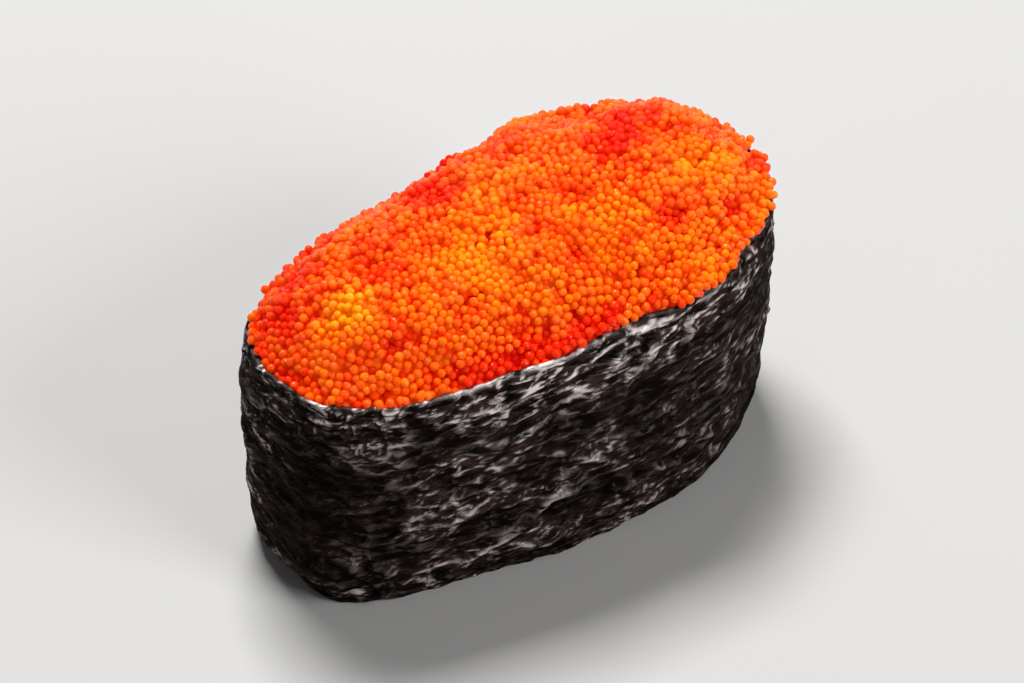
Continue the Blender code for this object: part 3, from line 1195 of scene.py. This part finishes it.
class GUNKAN_OT_rice(bpy.types.Operator):
    """Fill the foot with pressed rice: grains over a smaller core"""

    bl_idname = "gunkan.rice"
    bl_label = "Rice"

    def execute(self, context):
        settings = context.scene.gunkan_rice
        random = np.random.default_rng(settings.seed)
        core = copy_of_node("rice", "rice_core")
        apply_modifier(core, "REMESH", mode="VOXEL", voxel_size=0.6 * MM, adaptivity=0.0)
        points, normals = points_of(core.data), normals_of(core.data)
        bumps = noise_at(points, 2.0 * MM, 31)[:, None]
        set_points(core.data, points - normals * (1.0 * MM - 0.3 * MM * bumps))
        finished(core, rice_finish(), ["rice"])

        grain, faces = self.one_grain(settings.grain)
        centres, turns, tilts = self.beds(settings.grain, random)
        points = np.empty((len(centres), len(grain), 3))
        for index, (centre, turn, tilt) in enumerate(zip(centres, turns, tilts)):
            size = 1 + 0.10 * random.standard_normal()
            c, s = math.cos(turn), math.sin(turn)
            ct, st = math.cos(tilt), math.sin(tilt)
            shape = grain * [size, 1 + 0.08 * random.standard_normal(), 1.0]
            shape = shape @ np.array([[ct, 0, -st], [0, 1, 0], [st, 0, ct]]).T
            shape = shape @ np.array([[c, -s, 0], [s, c, 0], [0, 0, 1]]).T
            points[index] = shape + centre
        # The board pressed the lowest grains flat.
        points[:, :, 2] = np.maximum(points[:, :, 2], RICE_LOW.z + 0.02 * MM)
        grains = joined_copies("rice_grains", points, faces)
        finished(grains, core.data.materials[0])
        return {"FINISHED"}

    def one_grain(self, length):
        """A short cooked grain along X: a round bar, tapered and bent."""
        bpy.ops.object.select_all(action="DESELECT")
        bpy.ops.mesh.primitive_uv_sphere_add(
            segments=10, ring_count=9, radius=1.0, rotation=(0, math.pi / 2, 0)
        )
        grain = bpy.context.object
        bpy.ops.object.transform_apply(rotation=True)
        points = points_of(grain.data)
        x = points[:, 0]
        body = points * [length / 2, GRAIN_WIDTH * length / 2, GRAIN_WIDTH * length * 0.44]
        body[:, 1:] *= (1 + 0.16 * np.sqrt(np.clip(1 - x**2, 0, 1)) - 0.10 * x)[:, None]
        body[:, 1] += 0.05 * length * x**2
        faces = [tuple(face.vertices) for face in grain.data.polygons]
        bpy.data.objects.remove(grain)
        # Every face is cut into triangles from its first corner.
        triangles = []
        for face in faces:
            for i in range(1, len(face) - 1):
                triangles.append((face[0], face[i], face[i + 1]))
        return body, np.array(triangles)

    def beds(self, length, random):
        """Places, headings and tilts of grains in the foot, two deep."""
        rice = tree_of("rice")
        centres, turns, tilts = [], [], []
        half = GRAIN_WIDTH * length * 0.44
        for layer, wanted in ((0, 420), (1, 420)):
            height = RICE_LOW.z + half * (0.78 + 1.3 * layer)
            for _ in range(wanted):
                x = random.uniform(RICE_LOW.x, RICE_HIGH.x)
                y = random.uniform(RICE_LOW.y, RICE_HIGH.y)
                spot = Vector((x, y, height))
                turn = random.uniform(0, 2 * math.pi)
                way = Vector((math.cos(turn), math.sin(turn), 0))
                ends = [spot + way * length * side * 0.46 for side in (-1, 0, 1)]
                if not all(self.inside(rice, end) for end in ends):
                    continue
                near = [
                    c for c in centres if (c - spot).length < length * 0.50 and abs(c.z - height) < half
                ]
                if near:
                    continue
                centres.append(spot)
                turns.append(turn)
                tilts.append(random.normal() * 0.08)
        return [np.array(c) for c in centres], turns, tilts

    def inside(self, tree, spot):
        """Whether a spot lies inside the foot: a level ray out meets a wall from within."""
        sideways = Vector((spot.x, spot.y * 2, 0)).normalized()
        _, normal, _, distance = tree.ray_cast(spot, sideways)
        return normal is not None and normal.dot(sideways) > 0 and distance > 0.6 * MM


# ---------------------------------------------------------------- stage


class GUNKAN_OT_stage(bpy.types.Operator):
    """Lay a plain pale floor, hang soft lights and set the camera"""

    bl_idname = "gunkan.stage"
    bl_label = "Stage"

    def execute(self, context):
        settings = context.scene.gunkan_stage
        middle = Vector((0, 0, 15 * MM))

        bpy.ops.object.select_all(action="DESELECT")
        bpy.ops.mesh.primitive_plane_add(size=4.0, location=(0, 0, CAD_BOX[0].z))
        floor = context.object
        floor.name = "floor"
        floor.data.materials.append(floor_finish(settings))

        # Azimuth and elevation in degrees, distance, side length, watts.
        self.softbox("key", middle, 165, 68, 0.60, 0.20, 5.0)
        self.softbox("front", middle, 22, 34, 0.70, 0.30, 3.0)
        self.softbox("left", middle, -75, 45, 0.70, 0.30, 0.15)

        world = bpy.data.worlds.new("Studio")
        world.use_nodes = True
        back = world.node_tree.nodes["Background"]
        back.inputs["Color"].default_value = (1.0, 0.99, 0.98, 1.0)
        back.inputs["Strength"].default_value = 0.07
        context.scene.world = world

        bpy.ops.object.camera_add()
        camera = context.object
        camera.data.sensor_width = 36.0
        camera.data.lens = 212.0
        camera.data.clip_start, camera.data.clip_end = 0.01, 20.0
        self.aim(camera, middle, settings.azimuth, settings.elevation, settings.distance)
        context.scene.camera = camera
        context.scene.view_settings.view_transform = "Standard"
        return {"FINISHED"}

    def aim(self, thing, target, azimuth, elevation, distance):
        """Places a light or the camera round a target, looking at it."""
        back = Vector(
            (
                math.sin(azimuth) * math.cos(elevation),
                -math.cos(azimuth) * math.cos(elevation),
                math.sin(elevation),
            )
        )
        thing.location = target + back * distance
        thing.rotation_euler = (-back).to_track_quat("-Z", "Y").to_euler()

    def softbox(self, name, target, azimuth, elevation, distance, side, watts):
        bpy.ops.object.light_add(type="AREA")
        lamp = bpy.context.object
        lamp.name = name
        lamp.data.shape = "SQUARE"
        lamp.data.size = side
        lamp.data.energy = watts
        self.aim(lamp, target, math.radians(azimuth), math.radians(elevation), distance)


class GUNKAN_PT_panel(bpy.types.Panel):
    """Settings and steps in the sidebar."""

    bl_label = "Gunkan sushi"
    bl_idname = "GUNKAN_PT_panel"
    bl_space_type = "VIEW_3D"
    bl_region_type = "UI"
    bl_category = "Sushi"

    def draw(self, context):
        for operator, group in STEPS:
            box = self.layout.box()
            box.operator(operator.bl_idname)
            settings = getattr(context.scene, group)
            for name in settings.__annotations__:
                box.prop(settings, name)


GROUPS = {
    "gunkan_nori": GunkanNoriSettings,
    "gunkan_roe": GunkanRoeSettings,
    "gunkan_rice": GunkanRiceSettings,
    "gunkan_stage": GunkanStageSettings,
}
STEPS = (
    (GUNKAN_OT_nori, "gunkan_nori"),
    (GUNKAN_OT_roe, "gunkan_roe"),
    (GUNKAN_OT_rice, "gunkan_rice"),
    (GUNKAN_OT_stage, "gunkan_stage"),
)
CLASSES = (*GROUPS.values(), *(step for step, _ in STEPS), GUNKAN_PT_panel)


def register():
    for each in CLASSES:
        bpy.utils.register_class(each)
    for name, group in GROUPS.items():
        setattr(bpy.types.Scene, name, bpy.props.PointerProperty(type=group))


def unregister():
    for name in GROUPS:
        delattr(bpy.types.Scene, name)
    for each in reversed(CLASSES):
        bpy.utils.unregister_class(each)


def main():
    register()
    bpy.ops.gunkan.nori()
    bpy.ops.gunkan.roe()
    bpy.ops.gunkan.rice()
    bpy.ops.gunkan.stage()


if __name__ == "__main__":
    main()
